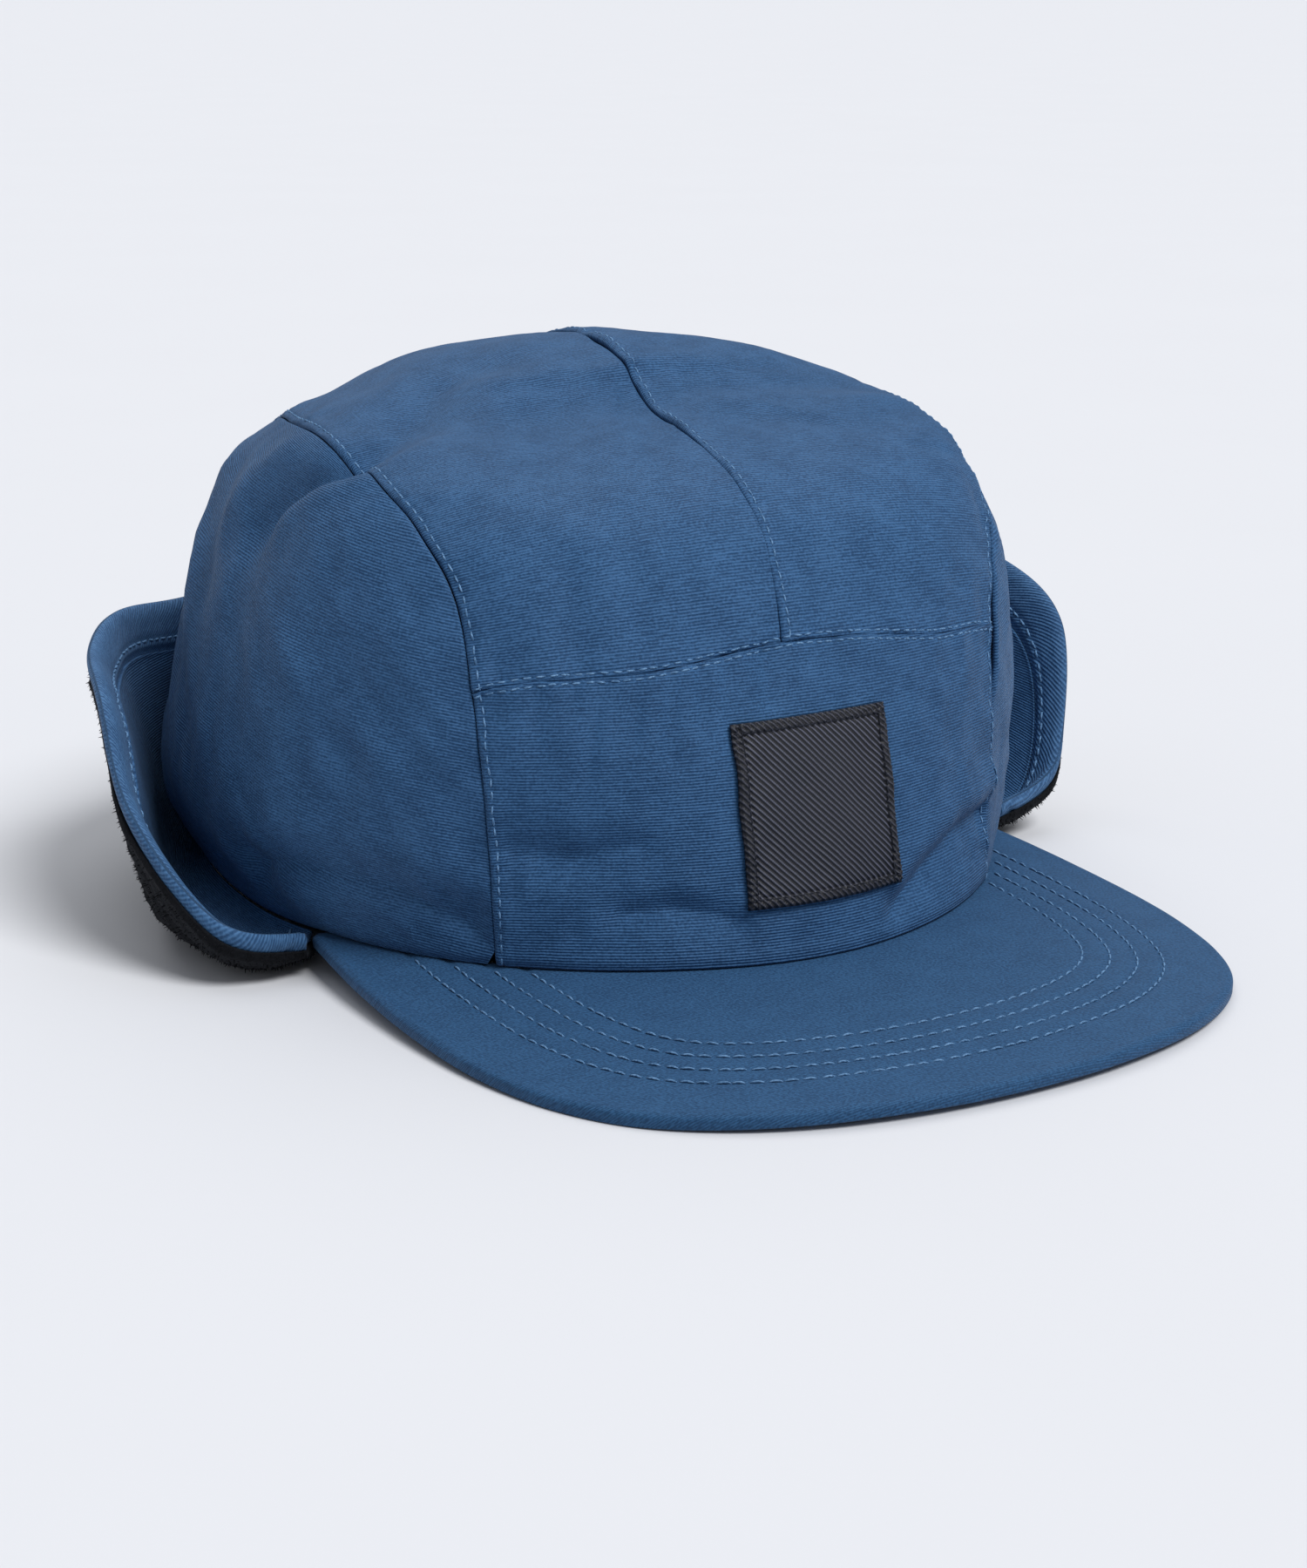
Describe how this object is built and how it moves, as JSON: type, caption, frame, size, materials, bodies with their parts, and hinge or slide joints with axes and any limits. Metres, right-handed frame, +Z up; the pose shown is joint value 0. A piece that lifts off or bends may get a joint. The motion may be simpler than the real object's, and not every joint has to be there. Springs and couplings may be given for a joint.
{
  "type": "earflap cap",
  "caption": "soft five-panel cap with a flat stitched brim, a square front patch and a fleece-lined earflap folded up round the crown",
  "frame": {"origin": "on the surface that the cap lies on, under the middle of the whole cap's box", "axes": "+Z up, the brim points along -Y, the wearer's left is +X"},
  "size_m": [0.249, 0.2824, 0.1296],
  "materials": {
    "crown_cloth": "fine crosswise rib, matt with a slight sheen",
    "brim_cloth": "same cloth over a board, stitched in four rows",
    "band_cloth": "same cloth cut on the bias",
    "patch_twill": "charcoal woven twill with a stitched border",
    "fleece": "short black pile"
  },
  "bodies": {
    "root": {"front_panel": "crown_cloth", "top_panel_left": "crown_cloth", "top_panel_right": "crown_cloth", "side_panel_left": "crown_cloth", "side_panel_right": "crown_cloth", "brim": "brim_cloth", "patch": "patch_twill", "earflap_shell": "crown_cloth", "earflap_band": "band_cloth", "earflap_fleece": "fleece"}
  },
  "joints": []
}
